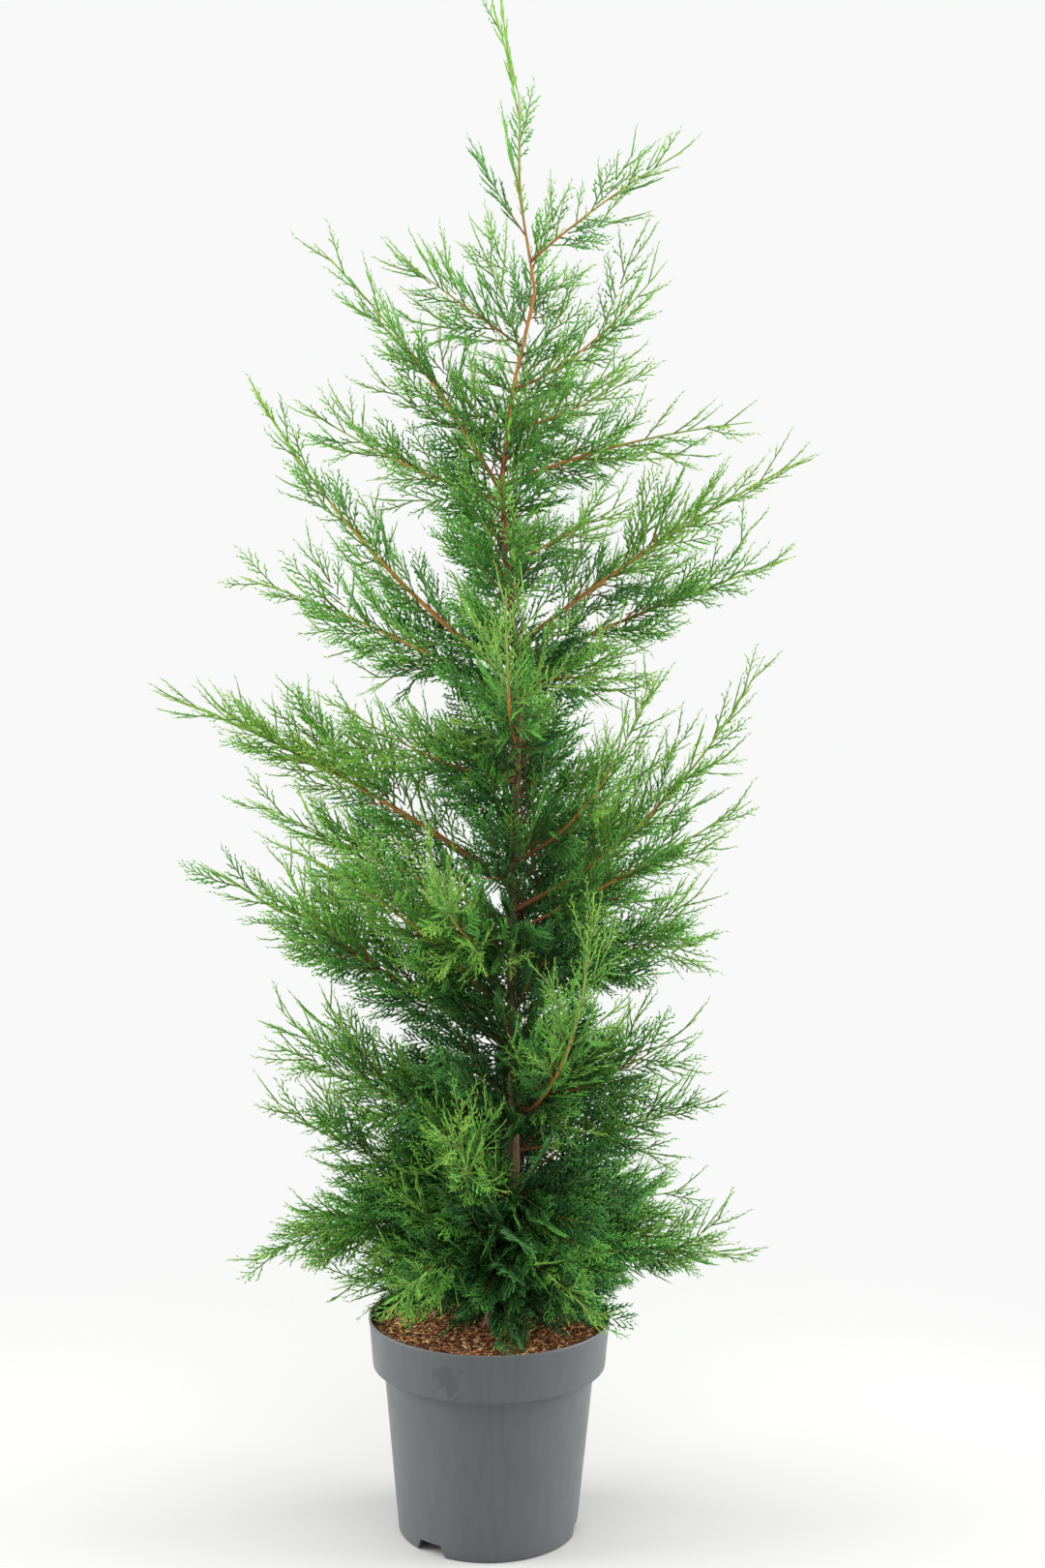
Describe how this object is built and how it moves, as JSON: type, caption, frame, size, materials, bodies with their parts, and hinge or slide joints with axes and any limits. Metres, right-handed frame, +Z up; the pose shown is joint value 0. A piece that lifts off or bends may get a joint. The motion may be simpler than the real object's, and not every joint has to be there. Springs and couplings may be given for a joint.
{
  "type": "potted cypress tree",
  "caption": "Tall young conifer with feathery upswept boughs and a sparse leading shoot, in a round tapered nursery pot.",
  "frame": {"origin": "centre of the pot's flat underside, on the floor", "axes": "+Z up along the pot's axis, -Y towards the viewer in front, +X to the viewer's right"},
  "size_m": [0.8143, 0.6046, 1.926],
  "materials": {
    "pot_plastic": "matt grey moulded polypropylene",
    "bark_mulch": "coarse composted bark, red-brown with pale fibres",
    "trunk_bark": "thin scaly bark, grey-brown below and orange-brown above",
    "bough_bark": "thin smooth orange-brown bark",
    "foliage_deep": "dark green scale leaves of the inner sprays",
    "foliage_mid": "mid green scale leaves",
    "foliage_fresh": "fresh light green scale leaves of the young sprays"
  },
  "bodies": {
    "root": {"bough_14": "bough_bark", "bough_15": "bough_bark", "bough_16": "bough_bark", "bough_19": "bough_bark", "bough_21": "bough_bark", "bough_22": "bough_bark", "bough_23": "bough_bark", "bough_28": "bough_bark", "bough_30": "bough_bark", "bough_31": "bough_bark", "bough_32": "bough_bark", "bough_37": "bough_bark", "compost": "bark_mulch", "foliage_01": "foliage_mid", "foliage_02": "foliage_mid", "foliage_03": "foliage_mid", "foliage_04": "foliage_mid", "foliage_05": "foliage_deep", "foliage_06": "foliage_mid", "foliage_07": "foliage_deep", "foliage_08": "foliage_fresh", "foliage_09": "foliage_mid", "foliage_10": "foliage_deep", "foliage_11": "foliage_deep", "foliage_12": "foliage_mid", "foliage_13": "foliage_mid", "foliage_14": "foliage_fresh", "foliage_15": "foliage_mid", "foliage_16": "foliage_fresh", "foliage_17": "foliage_deep", "foliage_18": "foliage_fresh", "foliage_19": "foliage_mid", "foliage_20": "foliage_deep", "foliage_21": "foliage_mid", "foliage_22": "foliage_fresh", "foliage_23": "foliage_fresh", "foliage_24": "foliage_fresh", "foliage_25": "foliage_deep", "foliage_26": "foliage_fresh", "foliage_27": "foliage_fresh", "foliage_28": "foliage_mid", "foliage_29": "foliage_fresh", "foliage_30": "foliage_mid", "foliage_31": "foliage_mid", "foliage_32": "foliage_fresh", "foliage_33": "foliage_deep", "foliage_34": "foliage_fresh", "foliage_35": "foliage_mid", "foliage_36": "foliage_mid", "foliage_37": "foliage_mid", "foliage_38": "foliage_deep", "foliage_39": "foliage_fresh", "foliage_40": "foliage_mid", "foliage_41": "foliage_mid", "foliage_42": "foliage_mid", "foliage_43": "foliage_deep", "foliage_44": "foliage_mid", "foliage_leader": "foliage_fresh", "pot": "pot_plastic", "trunk": "trunk_bark"}
  },
  "joints": []
}
